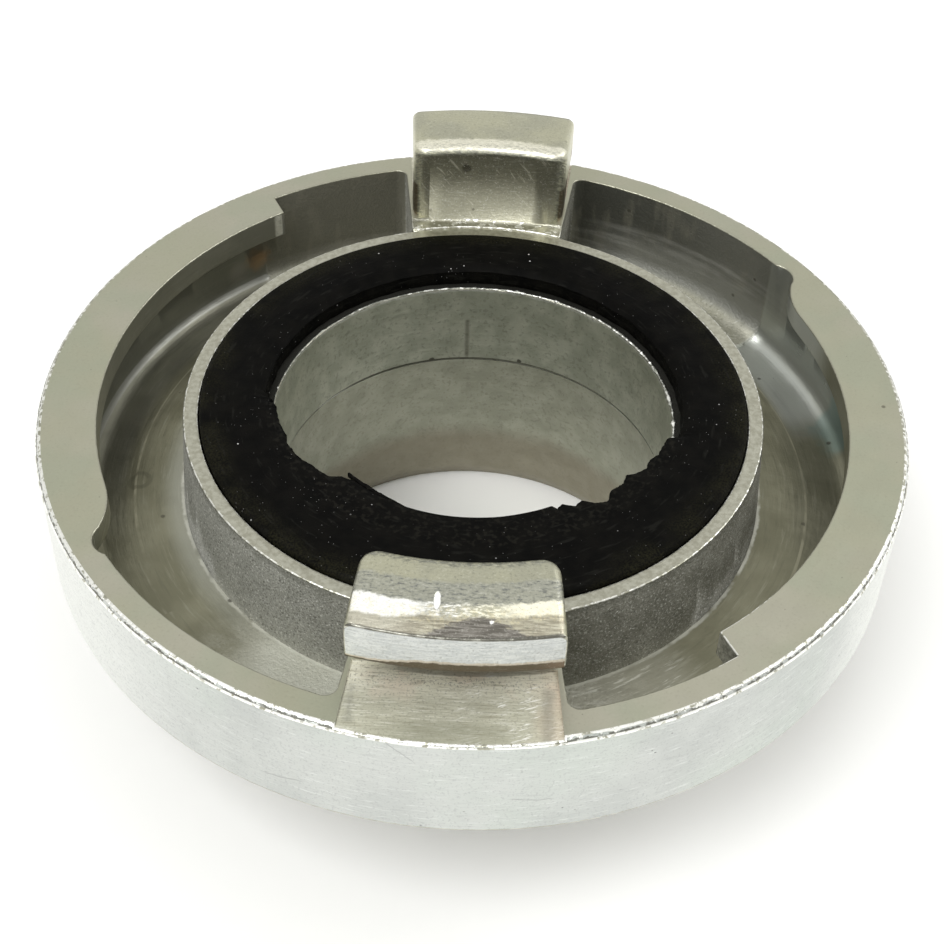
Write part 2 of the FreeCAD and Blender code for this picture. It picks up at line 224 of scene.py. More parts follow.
class Maker:
    """Builds one material from places in millimetres, noises and colours laid over each other."""

    def __init__(self, name, metallic, roughness, specular=0.5):
        self.material = bpy.data.materials.new(name)
        self.material.use_nodes = True
        self.tree = self.material.node_tree
        self.shader = self.tree.nodes["Principled BSDF"].inputs
        self.shader["Metallic"].default_value = metallic
        self.shader["Roughness"].default_value = roughness
        self.shader["Specular IOR Level"].default_value = specular
        self.colour = None
        place = self.node("TexCoord", "Object")
        self.mm = self.node("VectorMath", "Vector", "SCALE", Vector=place, Scale=1 / MM)
        self.x, self.y, self.z = (self.node("SeparateXYZ", axis, Vector=self.mm) for axis in "XYZ")
        self.r = self.x.math("SQRT", self.x * self.x + self.y * self.y)

    def node(self, kind, output, operation=None, **inputs):
        """Add a shader node, set its inputs by name and return one of its outputs."""
        node = self.tree.nodes.new("ShaderNode" + kind)
        if operation:
            node.operation = operation
        for name, value in inputs.items():
            connect(self.tree, node.inputs[name], value)
        return Field(self.tree, node.outputs[output])

    def vector(self, operation, output, a, b):
        node = self.tree.nodes.new("ShaderNodeVectorMath")
        node.operation = operation
        connect(self.tree, node.inputs[0], a)
        connect(self.tree, node.inputs[1], b)
        return Field(self.tree, node.outputs[output])

    def combine(self, x, y, z=0.0):
        return self.node("CombineXYZ", 0, X=x, Y=y, Z=z)

    def shifted(self, at, offset):
        """A noise's place, moved by its offset so that noises of one scale differ."""
        at = at or self.mm
        if offset:
            at = self.vector("ADD", "Vector", at, (offset, offset * 0.7, -offset))
        return at

    def noise(self, scale, detail=2.0, at=None, rough=0.5, offset=0.0):
        """Noise between 0 and 1; scale is in features per millimetre."""
        return self.node("TexNoise", "Fac", Vector=self.shifted(at, offset), Scale=scale,
                         Detail=detail, Roughness=rough)

    def cells(self, scale, at=None, offset=0.0):
        """Distance to the nearest of scattered points, in cells."""
        return self.node("TexVoronoi", "Distance", Vector=self.shifted(at, offset), Scale=scale)

    def away(self, point, at=None):
        """Distance from a point, in millimetres."""
        return self.vector("DISTANCE", "Value", at or self.mm, point)

    def facing(self, angle):
        """Cosine of the angle about the axis between here and a direction, in degrees."""
        turn = math.radians(angle)
        return (self.x * math.cos(turn) + self.y * math.sin(turn)) / self.r

    def spot(self, centre, radius, ragged, scale):
        """1 within a ragged blot round a point, 0 outside it."""
        away = self.away(centre) + self.noise(scale, 3) * (radius * ragged)
        return away.step(radius * (1 + ragged * 0.5), radius * (0.55 + ragged * 0.5))

    def lathe(self, along, across):
        """Noise place for turned marks: slow round the axis, fast across it, with no seam."""
        return self.combine(self.x / self.r * along, self.y / self.r * along,
                            (self.r + self.z) * across)

    def most(self, first, *others):
        """The largest of some fields."""
        for other in others:
            first = first.math("MAXIMUM", first, other)
        return first

    def mix(self, factor, a, b):
        node = self.tree.nodes.new("ShaderNodeMix")
        node.data_type = "RGBA"
        for name, value in (("Factor", factor), ("A", a), ("B", b)):
            connect(self.tree, node.inputs[name], value)
        return Field(self.tree, next(out for out in node.outputs if out.type == "RGBA"))

    def base(self, factor, a, b):
        """Start the colour as a mix of two."""
        self.colour = self.mix(factor, a, b)

    def paint(self, factor, over):
        """Lay another colour over the present one, by a factor from 0 to 1."""
        self.colour = self.mix(factor, self.colour, over)

    def finish(self, roughness, height, depth):
        """Link colour, roughness and a bump whose height 0 to 1 stands for depth in millimetres."""
        connect(self.tree, self.shader["Base Color"], self.colour)
        connect(self.tree, self.shader["Roughness"], roughness)
        bump = self.node("Bump", "Normal", Height=height, Distance=depth * MM, Strength=1.0)
        connect(self.tree, self.shader["Normal"], bump)
        return self.material


def turned_face():
    """Ring face and flange tops: smooth satin, faintly blotched, with a few pits and rubs."""
    m = Maker("turned_face", 1.0, 0.42)
    blotch = m.noise(0.045, 3, offset=3.1).step(0.38, 0.64)
    tint = m.noise(0.11, 3, offset=17.0).step(0.42, 0.66)
    m.base(blotch, (0.5, 0.497, 0.385), (0.53, 0.515, 0.425))
    m.paint(tint * 0.6, (0.47, 0.492, 0.385))
    grain = m.noise(2.6, 3)
    m.paint(grain.step(0.55, 0.75) * 0.16, (0.62, 0.61, 0.52))
    m.paint(grain.step(0.45, 0.28) * 0.22, (0.36, 0.35, 0.27))
    pits = (m.cells(0.16, offset=5.0).step(0.075, 0.035) *
            m.noise(0.05, 1, offset=9).step(0.46, 0.58))
    m.paint(pits * 0.75, (0.15, 0.145, 0.11))
    specks = (m.cells(0.55, offset=8.0).step(0.075, 0.04) *
              m.noise(0.3, 2, offset=44).step(0.48, 0.58))
    m.paint(specks * 0.5, (0.21, 0.205, 0.16))
    # the outer edge of the rim is rubbed bright
    rub = m.noise(0.9, 3, offset=2).step(0.5, 0.66) * m.r.step(RING_R - 0.6, RING_R - 0.35)
    m.paint(rub * 0.8, (0.8, 0.8, 0.74))
    lines = m.noise(1.0, 2, at=m.lathe(5.0, 3.2))
    rough = m.noise(0.25, 3) * 0.22 + lines * 0.1 + pits * 0.2
    height = lines * 0.25 + grain * 0.35 - pits * 0.9 + m.noise(0.35, 3) * 0.9
    return m.finish(rough + 0.27, height, 0.035)


def ring_side():
    """Outer wall of the ring: pale, painted lighter towards its left and right ends, finely
    scratched round its girth, ragged worn top edge painted brighter in front as a highlight.
    """
    m = Maker("ring_side", 0.9, 0.45)
    blotch = m.noise(0.07, 4, offset=4.0).step(0.4, 0.62)
    green = m.noise(0.05, 2, offset=40.0).step(0.45, 0.65)
    m.base(blotch, (0.59, 0.606, 0.585), (0.535, 0.552, 0.535))
    m.paint(green * 0.6, (0.56, 0.602, 0.56))
    # painted light: the wall is lighter towards its left and right ends
    painted_light_ends = m.most(m.x.step(-24.0, -56.0), m.x.step(46.0, 60.0))
    m.paint(painted_light_ends, (0.8, 0.812, 0.785))
    streak = m.noise(1.0, 4, at=m.lathe(16.0, 2.6), rough=0.65)
    m.paint(streak.step(0.58, 0.74) * 0.3, (0.4, 0.41, 0.41))
    m.paint(streak.step(0.44, 0.3) * 0.45, (0.8, 0.82, 0.8))
    fine = m.noise(1.0, 3, at=m.lathe(34.0, 9.0), offset=3)
    m.paint(fine.step(0.58, 0.72) * 0.42, (0.34, 0.35, 0.36))
    grain = m.noise(3.2, 2, offset=12)
    m.paint(grain.step(0.45, 0.32) * 0.45, (0.4, 0.41, 0.41))
    nick = (m.cells(1.0, at=m.lathe(26.0, 0.75), offset=1.7).step(0.1, 0.05) *
            m.noise(0.1, 2, offset=6).step(0.52, 0.62))
    m.paint(nick * 0.8, (0.1, 0.1, 0.105))
    for x, z, lean in RING_SCRATCHES:
        along = m.x - x
        off = m.z - z + along * lean + m.noise(0.5, 2, offset=lean) * 0.8
        line = abs(off - 0.4).step(0.16, 0.05) * abs(along).step(3.2, 1.8)
        m.paint(line * 0.4 * m.y.step(-40, -45), (0.22, 0.22, 0.23))
    # top edge: worn bare metal, painted brighter in front as a highlight and spotted elsewhere,
    # with a dark broken line below it
    front = (m.y / m.r + m.noise(0.12, 2, offset=3) * 0.4).step(-0.15, -0.75)
    ragged = m.noise(1.6, 4, offset=8, rough=0.65)
    level = m.z + (ragged - 0.5) * 0.7
    bright = (level.step(FACE_Z - 0.34, FACE_Z - 0.26) * front.between(0.4, 1.0) *
              m.noise(0.9, 3, offset=19).step(0.56, 0.62))
    m.paint(bright, BARE_METAL)
    dents = (abs(level - (FACE_Z - 0.4)).step(0.16, 0.07) *
             m.noise(0.6, 3, offset=31).step(0.38, 0.5))
    m.paint(dents * 0.85, (0.13, 0.125, 0.1))
    low = ((m.z + m.noise(0.8, 3) * 1.2).step(RING_BASE_Z + 1.8, RING_BASE_Z + 1.1) *
           m.noise(0.1, 3, offset=70).step(0.42, 0.56))
    m.paint(low * 0.7, (0.3, 0.29, 0.25))
    rough = streak * 0.2 + m.noise(0.3, 3) * 0.2 + 0.24
    height = (streak * 0.6 + fine * 0.3 - nick * 0.8 - dents * 1.4 + grain * 0.3 +
              bright * m.noise(3.0, 2) * 2.0 + m.noise(0.4, 3) * 0.8)
    return m.finish(rough, height, 0.05)


def channel():
    """Channels: the cutter's smooth olive pass, and sparkling cast floor beside the pads."""
    m = Maker("channel", 0.75, 0.45)
    blotch = m.noise(0.09, 4, offset=12.0).step(0.36, 0.66)
    m.base(blotch, (0.245, 0.238, 0.165), (0.335, 0.325, 0.235))
    lines = m.noise(1.0, 4, at=m.lathe(7.0, 1.7), rough=0.6)
    m.paint(lines.step(0.54, 0.72) * 0.4, (0.47, 0.46, 0.37))
    m.paint(lines.step(0.46, 0.3) * 0.35, (0.16, 0.155, 0.11))
    # the pass starts at the entries with a polished stretch, its bluish colour a painted reflection
    polished_and_reflection = (m.facing(ENTRY_ANGLE).step(0.945, 0.985) * m.r.step(50.0, 52.5) *
                m.x.step(-5.0, 5.0))
    m.paint(polished_and_reflection * 0.75, (0.62, 0.65, 0.63))
    # painted highlight along the crease where the pass begins
    crease = (abs(m.r - PASS_R).step(0.28, 0.14) *
              m.noise(0.3, 3, offset=4).step(0.35, 0.6).between(0.35, 1.0))
    m.paint(crease * m.y.step(-24.0, -12.0) * 0.6, (0.62, 0.59, 0.44))
    # beside the pads the floor is cast, not cut
    middle = abs(m.facing(GAP_ANGLE))
    back = m.y.step(-5.0, 5.0)
    gradual = (middle + m.noise(0.3, 3, offset=50) * 0.14).step(0.8, 0.99)
    cast = m.most(middle.step(0.69, 0.698) * back, gradual * (1.0 - back))
    grain = m.noise(2.0, 4, rough=0.7, offset=2)
    sand = m.mix(m.noise(0.2, 4, offset=6).step(0.36, 0.64), (0.47, 0.462, 0.375),
                 (0.57, 0.562, 0.48))
    sand = m.mix(grain.step(0.46, 0.34) * 0.55, sand, (0.25, 0.245, 0.19))
    sand = m.mix(grain.step(0.57, 0.68) * 0.6, sand, (0.8, 0.8, 0.74))
    scuff = m.noise(1.0, 3, at=m.combine(m.x * 0.25, m.y * 2.2, m.z), offset=9)
    sand = m.mix(scuff.step(0.6, 0.7) * m.x.step(-15.0, 5.0) * 0.6, sand, (0.9, 0.9, 0.84))
    sand = m.mix(back * 0.12, sand, (0.2, 0.2, 0.165))
    m.paint(cast, sand)
    # painted shade: the wall under the flange is darker than the floor; at the back it is darker
    # still, with upright streaks, and lighter towards the top on the right
    wall = m.r.step(57.0, 58.3)
    m.paint(wall * 0.5, (0.19, 0.195, 0.16))
    upright = m.noise(1.0, 3, at=m.lathe(22.0, 0.12), offset=15)
    dark = m.mix(m.x.step(-20.0, 20.0), (0.192, 0.187, 0.15), (0.085, 0.087, 0.074))
    dark = m.mix(m.x.step(24.0, 44.0) * 0.7, dark, (0.225, 0.225, 0.195))
    dark = m.mix(upright.step(0.5, 0.68) * 0.45, dark, (0.26, 0.25, 0.2))
    shade_lifts_up = (m.z + m.noise(0.25, 3, offset=60) * 3.0).step(44.0, 36.5)
    dark = m.mix(shade_lifts_up * m.x.step(14.0, 27.0) * 0.9, dark, (0.33, 0.333, 0.305))
    m.paint(wall * back * cast * 0.92, dark)
    # painted highlight along the line where the floor meets the collar, and painted light on the
    # floor beside the collar on the left
    foot = ((m.r + m.noise(0.8, 2) * 0.6).step(44.35, 43.95) *
            m.noise(0.3, 3, offset=2).step(0.3, 0.5))
    glow = m.r.step(47.6, 44.0) * m.x.step(-20.0, -36.0)
    m.paint(glow * 0.5, (0.58, 0.59, 0.53))
    m.paint(foot * 0.65, (0.88, 0.88, 0.8))
    # the cast floor is pale beside the front pad, with slanting scuffs on the right
    pale = m.away(PALE_FLOOR).step(13.0, 5.0)
    m.paint(pale * 0.6, (0.8, 0.81, 0.73))
    fair = m.away(SCUFFED_FLOOR).step(12.0, 5.0)
    m.paint(fair * 0.5, (0.54, 0.53, 0.45))
    scuffs = m.noise(1.0, 4, at=m.lathe(8.0, 1.5), offset=71, rough=0.65)
    m.paint(fair * scuffs.step(0.54, 0.64) * 0.6, (0.9, 0.9, 0.82))
    # rub marks along the back wall; on the left the outer part of the pass is painted darker as
    # shade under the flange, with a painted highlight along its crease
    rubs = ((m.z - m.x * 0.09).band(34.6, 37.6, 1.6) * wall * m.y.step(24.0, 33.0) *
            m.x.step(10.0, 24.0) * m.noise(1.0, 3, at=m.lathe(7.0, 1.0)).step(0.36, 0.74))
    m.paint(rubs * 0.55, (0.46, 0.46, 0.43))
    uncast = 1.0 - cast
    shade_under_flange = m.x.step(10.0, -20.0) * m.y.step(-25.0, 5.0) * m.r.step(51.0, 53.5)
    m.paint(shade_under_flange * uncast * 0.45, (0.2, 0.203, 0.19))
    shine = (m.z.band(33.1, 33.6, 0.25) * m.r.step(56.8, 57.3) * m.x.step(-12.0, -24.0) *
             (m.y - m.x).step(40.0, 80.0))
    m.paint(shine * uncast * 0.35, (0.7, 0.71, 0.69))
    shady = m.x.step(46.0, 51.0) * m.y.step(17.0, 12.0)
    m.paint(shady * 0.35, (0.13, 0.13, 0.1))
    # end face of the left stop, the flank of the right entry, the speckled front stop
    end = abs(m.x * 0.91 + m.y * 0.415 + 12.69).step(0.6, 0.3) * m.r.step(49.0, 50.0)
    end = end * back * m.x.step(0.0, -5.0) * m.z.step(41.0, 41.5)
    m.paint(end * 0.8, (0.15, 0.147, 0.12))
    entry = m.away(DARK_ENTRY).step(9.0, 5.0) * m.z.step(35.5, 38.5)
    m.paint(entry * 0.4, (0.13, 0.13, 0.11))
    stop = m.away(FRONT_STOP).step(8.5, 6.5) * m.z.step(42.5, 43.2)
    m.paint(stop * 0.8, m.mix(m.noise(1.8, 4, rough=0.7).step(0.4, 0.6),
                              (0.28, 0.28, 0.24), (0.66, 0.66, 0.6)))
    # a stain by the left stop, a painted teal reflection on the right, a faint ring on the left
    # floor
    stain = (m.away(STAIN) + m.noise(0.7, 3, offset=8) * 3.0).step(4.8, 1.6)
    m.paint(stain * 0.55, (0.43, 0.235, 0.09))
    m.paint(m.away(STAIN_HAZE).step(3.0, 0.2) * 0.22, (0.6, 0.55, 0.5))
    m.paint(m.spot(TEAL_REFLECTION, 6.0, 0.9, 0.3) * 0.55, (0.19, 0.29, 0.28))
    m.paint(abs(m.away(FAINT_RING) - 1.5).step(0.55, 0.2) * 0.5, (0.15, 0.145, 0.1))
    specks = m.cells(0.22, offset=3.0).step(0.1, 0.05) * m.noise(0.07, 1, offset=5).step(0.48, 0.6)
    m.paint(specks * 0.7, (0.07, 0.065, 0.05))
    rough = lines * 0.2 + m.noise(0.2, 3) * 0.2 + cast * 0.18 - polished_and_reflection * 0.1 + 0.22
    height = lines * 0.5 + m.noise(0.5, 4) * 0.9 - specks * 0.6 + cast * grain * 1.8
    return m.finish(rough, height, 0.08)


def rough_cast():
    """Collar's outer wall and the pads' flanks: grainy sand casting that sparkles."""
    m = Maker("rough_cast", 0.6, 0.6)
    grain = m.noise(3.1, 4, rough=0.72)
    lumps = m.noise(0.28, 4, offset=5)
    side = (m.x / m.r).step(0.35, -0.75)
    m.base(lumps.step(0.35, 0.65), (0.26, 0.257, 0.215), (0.345, 0.341, 0.295))
    # painted light: the left side of the collar's wall is lighter
    m.paint(side * 0.42, (0.64, 0.65, 0.615))
    m.paint(grain.step(0.47, 0.36) * 0.8, (0.13, 0.128, 0.108))
    m.paint(grain.step(0.565, 0.65) * 0.62, BARE_METAL)
    top = (m.z + m.noise(0.9, 3, offset=7) * 1.2).step(46.2, 46.9)
    m.paint(top * 0.35, (0.16, 0.16, 0.13))
    low = (m.z + m.noise(0.5, 3, offset=9) * 3.0).step(36.8, 33.6)
    m.paint(low * 0.15, (0.62, 0.61, 0.55))
    # the land round the bore is painted nearly black, as shade below the lip
    m.paint(m.r.step(36.0, 34.0), (0.02, 0.02, 0.016))
    return m.finish(m.noise(1.2, 3).between(0.58, 0.82),
                    grain * 1.1 + lumps * 2.2 + m.noise(0.9, 3) * 0.9, 0.18)


def collar_rim():
    """Flat rim of the collar: scuffed, with nicks that shine on its outer edge."""
    m = Maker("collar_rim", 1.0, 0.42)
    mottle = m.noise(1.3, 4, rough=0.65)
    m.base(mottle.step(0.34, 0.66), (0.44, 0.43, 0.35), (0.58, 0.575, 0.49))
    edge = (m.r + m.noise(1.5, 3, offset=3) * 0.7).step(42.35, 42.55)
    nick = edge * m.noise(0.9, 3, offset=14).step(0.54, 0.62)
    m.paint(nick * 0.9, BARE_METAL)
    inner = (m.r + m.noise(1.2, 2, offset=6) * 0.4).step(40.75, 40.35)
    m.paint(inner * 0.55, (0.2, 0.19, 0.15))
    lines = m.noise(1.0, 3, at=m.lathe(9.0, 4.0))
    height = mottle * 0.9 + lines * 0.4 + nick * 0.8 + m.noise(0.4, 3) * 1.2
    return m.finish(mottle.between(0.3, 0.52), height, 0.07)


def lug_face():
    """Lugs: olive tops with a painted highlight band and grey scuffs, a brown lower edge and
    painted shade below the hook.
    """
    m = Maker("lug_face", 1.0, 0.38)
    front = m.y.step(5.0, -5.0)
    back = 1.0 - front
    left = m.x.step(-3.5, -8.5)
    blotch = m.noise(0.16, 4, offset=21.0).step(0.38, 0.64)
    m.base(blotch, (0.59, 0.58, 0.44), (0.52, 0.514, 0.405))
    # noise places drawn out along the lug
    long = m.combine(m.x * 0.35, (m.y + m.z) * 3.2, m.x * 0.1)
    short = m.combine(m.x * 1.1, (m.y + m.z) * 2.6)
    scratch = m.noise(1.0, 4, at=long, rough=0.65)
    mottle = m.noise(1.0, 4, at=short, offset=33, rough=0.68)
    grain = m.noise(3.2, 3, rough=0.65, offset=8)
    wave = m.r + (m.noise(0.7, 5, offset=4, rough=0.68) - 0.5) * 1.7
    # speckled inner round, grey scuffs, a painted highlight band, a streaked lower part painted
    # lighter on the left where the highlight runs down, and a painted warm reflection
    inner = wave.step(46.4, 45.6) * mottle.step(0.6, 0.42)
    m.paint(inner * 0.75, (0.2, 0.205, 0.185))
    zone = wave.band(48.9, 51.9, 0.6) * front
    m.paint(zone * 0.45, (0.44, 0.455, 0.44))
    m.paint(zone * mottle.step(0.5, 0.36) * 0.75, (0.205, 0.215, 0.215))
    m.paint(zone * mottle.step(0.56, 0.66) * 0.5, (0.8, 0.8, 0.74))
    middle = abs(m.x - 1.2).step(7.0, 3.0)
    band = wave.step(51.7, 52.2) * (wave - left).step(54.3, 53.7)
    band = band * front * m.z.step(HOOK_Z - 0.1, HOOK_Z + 0.2)
    band = band * (1.0 - middle * mottle.step(0.58, 0.46) * 0.85)
    m.paint(band, m.mix(m.x.step(-2.0, 4.0), BARE_LUG, (1.0, 0.97, 0.8)))
    below = (wave - left).step(53.6, 54.4) * front * m.z.step(HOOK_Z - 0.2, HOOK_Z)
    streaks = m.mix(scratch.step(0.42, 0.58), (0.4, 0.34, 0.27), (0.74, 0.69, 0.56))
    streaks = m.mix(left * 0.7, streaks, (0.86, 0.82, 0.72))
    m.paint(below * 0.6, streaks)
    warm_reflection = (wave.band(52.8, 54.6, 0.5) * front *
            m.noise(2.0, 4, offset=61, rough=0.65).step(0.46, 0.6))
    m.paint(warm_reflection * 0.4, (0.93, 0.84, 0.56))
    # the patch widens towards the crease
    spread = abs(m.x - 2.8) - (m.r - 53.5) * 1.9
    ragged = m.noise(0.7, 4, at=short, offset=40, rough=0.6) - 0.5
    patch = (spread + ragged * 5.5).step(0.9, -0.2) * m.r.step(53.4, 54.2)
    patch = patch * front * m.z.step(HOOK_Z - 0.2, HOOK_Z)
    m.paint(patch * 0.88, m.mix(scratch.step(0.42, 0.58), (0.15, 0.14, 0.13), (0.3, 0.28, 0.265)))
    # outer face, streaked along its length, its brown lower edge, and painted shade beneath the
    # hook's lower edge and under the hook
    outer = m.r.step(HOOK_R - 0.3, HOOK_R - 0.1) * m.z.step(HOOK_Z + 0.2, HOOK_Z - 0.1)
    streak = m.noise(1.0, 4, at=m.combine(m.x * 0.5, m.z * 3.4, m.y * 0.2), offset=6, rough=0.6)
    pale = m.mix(streak.step(0.38, 0.62), (0.52, 0.54, 0.535), (0.64, 0.655, 0.64))
    pale = m.mix(streak.step(0.62, 0.76) * 0.5, pale, (0.36, 0.38, 0.385))
    m.paint(outer, pale)
    crease = abs(m.z + m.noise(0.9, 3) * 0.25 - (HOOK_Z + 0.1)).step(0.24, 0.1)
    m.paint(crease * m.r.step(HOOK_R - 0.5, HOOK_R - 0.2) * 0.8, (0.12, 0.115, 0.1))
    level = m.z + (m.noise(0.9, 3, offset=2) - 0.5) * 0.7
    level = level - m.x.step(-12.0, -2.0) * 1.15
    low = level.step(55.1, 54.85) * m.r.step(54.6, 56.2)
    m.paint(low * 0.6, (0.5, 0.4, 0.26))
    hook_shade = level.step(54.7, 54.4) * m.r.step(54.0, 55.5)
    m.paint(hook_shade * 0.9, m.mix(m.x.step(9.0, 13.0), (0.06, 0.044, 0.026), (0.19, 0.125, 0.075)))
    under = (m.z.step(HOOK_UNDER_Z + 0.55, HOOK_UNDER_Z + 0.1) *
             m.r.step(LUG_INNER_R + 0.7, LUG_INNER_R + 1.1))
    m.paint(under * 0.8, (0.15, 0.105, 0.06))
    # inner faces: a painted reflection, dark olive above and paler below, with a few slanting
    # scratches
    face = m.r.step(LUG_INNER_R + 0.7, LUG_INNER_R + 0.2) * m.z.step(HOOK_Z - 0.2, HOOK_Z - 0.8)
    shade = m.mix((m.z + m.noise(0.3, 3) * 2.0).step(52.0, 58.0), (0.33, 0.32, 0.24),
                  (0.15, 0.144, 0.098))
    m.paint(face * 0.85, shade)
    slant = m.noise(1.0, 3, at=m.combine(m.x * 1.6 + m.z * 1.3, m.x * 0.16 - m.z * 0.12),
                    offset=2)
    m.paint(face * slant.step(0.62, 0.7) * 0.5, (0.66, 0.64, 0.52))
    m.paint(m.spot(BACK_LUG_MARK, 1.0, 0.9, 1.2) * 0.8, (0.06, 0.055, 0.04))
    # painted gold highlight near the inner edge of the back lug's top
    gold_highlight = wave.band(45.0, 47.0, 0.8) * back * m.z.step(HOOK_Z - 0.1, HOOK_Z + 0.3)
    m.paint(gold_highlight * mottle.step(0.4, 0.6).between(0.45, 0.85), (1.0, 0.97, 0.83))
    m.paint(scratch.step(0.58, 0.74) * 0.35, (0.84, 0.84, 0.76))
    m.paint(scratch.step(0.42, 0.28) * 0.3, (0.24, 0.235, 0.18))
    m.paint(grain.step(0.45, 0.32) * 0.35, (0.2, 0.198, 0.16))
    m.paint(grain.step(0.56, 0.7) * 0.3, (0.92, 0.92, 0.84))
    # more painted shade under the hook, weaker towards its right end
    m.paint(hook_shade * m.x.step(9.0, 13.0).between(0.75, 0.3), (0.1, 0.078, 0.045))
    # an upright nick and a fleck of bare metal
    away = m.away((0, 0, 0), at=m.combine((m.x + 2.2) * 3.6, m.y + 51.6))
    away = away + (m.noise(1.5, 2) - 0.5) * 0.9
    nick = m.most(away.step(1.75, 1.25) * front, m.spot(FRONT_LUG_FLECK, 0.34, 0.9, 2.6))
    m.paint(nick, BARE_LUG)
    pits = m.cells(0.35, offset=2.0).step(0.12, 0.06) * m.noise(0.12, 1, offset=11).step(0.5, 0.6)
    m.paint(pits * 0.7, (0.13, 0.125, 0.09))
    # less metallic on the inner faces, the nick, the outer face and the painted highlights
    dull = m.most(face * 0.5, nick, gold_highlight * 0.4, outer * 0.5, band)
    connect(m.tree, m.shader["Metallic"], dull.between(1.0, 0.4))
    rough = scratch * 0.2 + m.noise(0.4, 3) * 0.2 - band * 0.08 + outer * 0.1 + 0.17
    height = (scratch * 0.5 + mottle * 0.9 - pits * 0.7 - nick * 1.5 + grain * 0.4 +
              m.noise(0.22, 2) * 1.4)
    return m.finish(rough, height * face.between(1.0, 0.4), 0.07)


def milled_strip():
    """Milled strip before each lug: brushed along its width, scratched, stained at one end, with
    painted light near the lug and a painted shadow under the hook.
    """
    m = Maker("milled_strip", 0.3, 0.5)
    brush = m.noise(1.0, 4, at=m.combine(m.x * 0.35, m.y * 4.2, m.z), rough=0.65)
    slant = m.combine(m.x * 1.9 - m.y * 4.3, m.x * 0.5 + m.y * 0.26, m.z)
    marks = m.noise(1.0, 3, at=slant, rough=0.6)
    blotch = m.noise(0.14, 3, offset=30.0).step(0.36, 0.62)
    m.base(blotch, (0.6, 0.594, 0.475), (0.53, 0.526, 0.42))
    # painted light near the lug, lifting its shadow
    light_near_lug = abs(m.y).step(57.0, 52.0)
    m.paint(light_near_lug * 0.9, (0.9, 0.88, 0.73))
    m.paint(brush.step(0.54, 0.66) * 0.5, (0.95, 0.94, 0.85))
    m.paint(brush.step(0.47, 0.34) * 0.55, (0.33, 0.31, 0.225))
    rosy = m.noise(0.22, 3, offset=90).step(0.5, 0.64) * abs(m.y).step(58.0, 54.0)
    m.paint(rosy * 0.35, (0.8, 0.66, 0.54))
    grain = m.noise(3.0, 3, rough=0.65, offset=3)
    m.paint(grain.step(0.47, 0.35) * 0.55, (0.31, 0.3, 0.235))
    right = m.x.step(-1.0, 3.5) * m.noise(0.35, 2, offset=77).step(0.46, 0.6)
    m.paint(marks.step(0.56, 0.64) * right * 0.85, (1.0, 1.0, 0.94))
    row = ((abs(m.y) + m.noise(0.3, 2, offset=5)).band(53.4, 54.2, 0.5) *
           m.noise(2.8, 3, offset=18).step(0.56, 0.64))
    m.paint(row * 0.5, (0.12, 0.11, 0.08))
    # painted shadow under the hook's lower edge
    under = (m.r + m.noise(1.2, 3) * 0.3).step(52.45, 52.25)
    m.paint(under * m.x.band(-5.0, 11.0, 5.0) * 0.5, (0.07, 0.062, 0.045))
    foot = abs(m.y).step(58.6, 60.4) * abs(m.x).step(11.0, 4.0)
    m.paint(foot * 0.5, (0.28, 0.28, 0.205))
    # brown stain and a dark stripe at the right end, a smudge at the left one
    end = (m.x + m.noise(0.3, 3, offset=7) * 5.0).step(11.2, 15.6)
    m.paint(end * 0.3, (0.68, 0.5, 0.36))
    stripe = abs(m.x + m.noise(0.3, 2) * 0.8 - 12.3).step(1.3, 0.1) * abs(m.y).step(52.8, 54.0)
    m.paint(stripe * 0.5, (0.26, 0.25, 0.21))
    smudge = ((abs(m.x + 12.4) + m.noise(0.7, 3) * 1.6).step(2.0, 0.6) *
              abs(m.y).band(55.0, 59.5, 1.5))
    m.paint(smudge * 0.5, (0.26, 0.26, 0.22))
    height = marks * 0.5 + brush * 0.9 + m.noise(0.5, 3) * 0.8
    return m.finish(m.noise(0.5, 3).between(0.38, 0.6), height, 0.05)


def bore_wall():
    """Wall of the waterway: dull greenish grey, mottled, with a darker brown band low down and a
    painted shadow line where it widens.
    """
    m = Maker("bore_wall", 1.0, 0.5)
    mottle = m.noise(0.3, 4, offset=2.0)
    m.base(mottle.step(0.36, 0.66), (0.415, 0.432, 0.355), (0.52, 0.535, 0.45))
    fine = m.noise(1.6, 3, offset=6.0)
    m.paint(fine.step(0.46, 0.34) * 0.35, (0.22, 0.22, 0.18))
    below = m.z.step(BORE_LINE_Z, BORE_LINE_Z - 0.8)
    m.paint(below * 0.35, (0.33, 0.315, 0.245))
    low_brown_band = (m.z + m.noise(0.12, 3, offset=8) * 4.0).band(2.0, 12.0, 5.0)
    m.paint(low_brown_band * 0.65, (0.27, 0.235, 0.175))
    # painted shadow along the step where the bore widens, strongest in the middle
    line = m.z.band(BORE_LINE_Z - 0.5, BORE_LINE_Z, 0.12)
    plain = abs(m.x).step(26.0, 10.0).between(0.35, 0.9)
    m.paint(line * plain * m.noise(0.6, 2).between(0.45, 1.0), (0.06, 0.057, 0.045))
    streak = (abs(m.x + 2.1 + m.noise(0.4, 2, offset=3) * 0.3).step(0.6, 0.05) *
              m.z.band(31.0, 38.0, 0.7) * m.y.step(20.0, 25.0))
    m.paint(streak * 0.5, (0.1, 0.088, 0.064))
    for at, radius in BORE_SPOTS:
        m.paint(m.spot(at, radius, 0.9, 1.0) * 0.8, (0.05, 0.046, 0.035))
    top = (m.z + m.noise(0.8, 3, offset=3) * 0.9).step(LAND_Z - 0.3, LAND_Z + 0.2)
    m.paint(top * 0.7, (0.7, 0.71, 0.68))
    height = mottle * 1.6 + fine * 0.5 + m.noise(1.0, 2, at=m.lathe(4.0, 1.6)) * 0.5
    return m.finish(m.noise(0.4, 3).between(0.4, 0.62), height, 0.09)


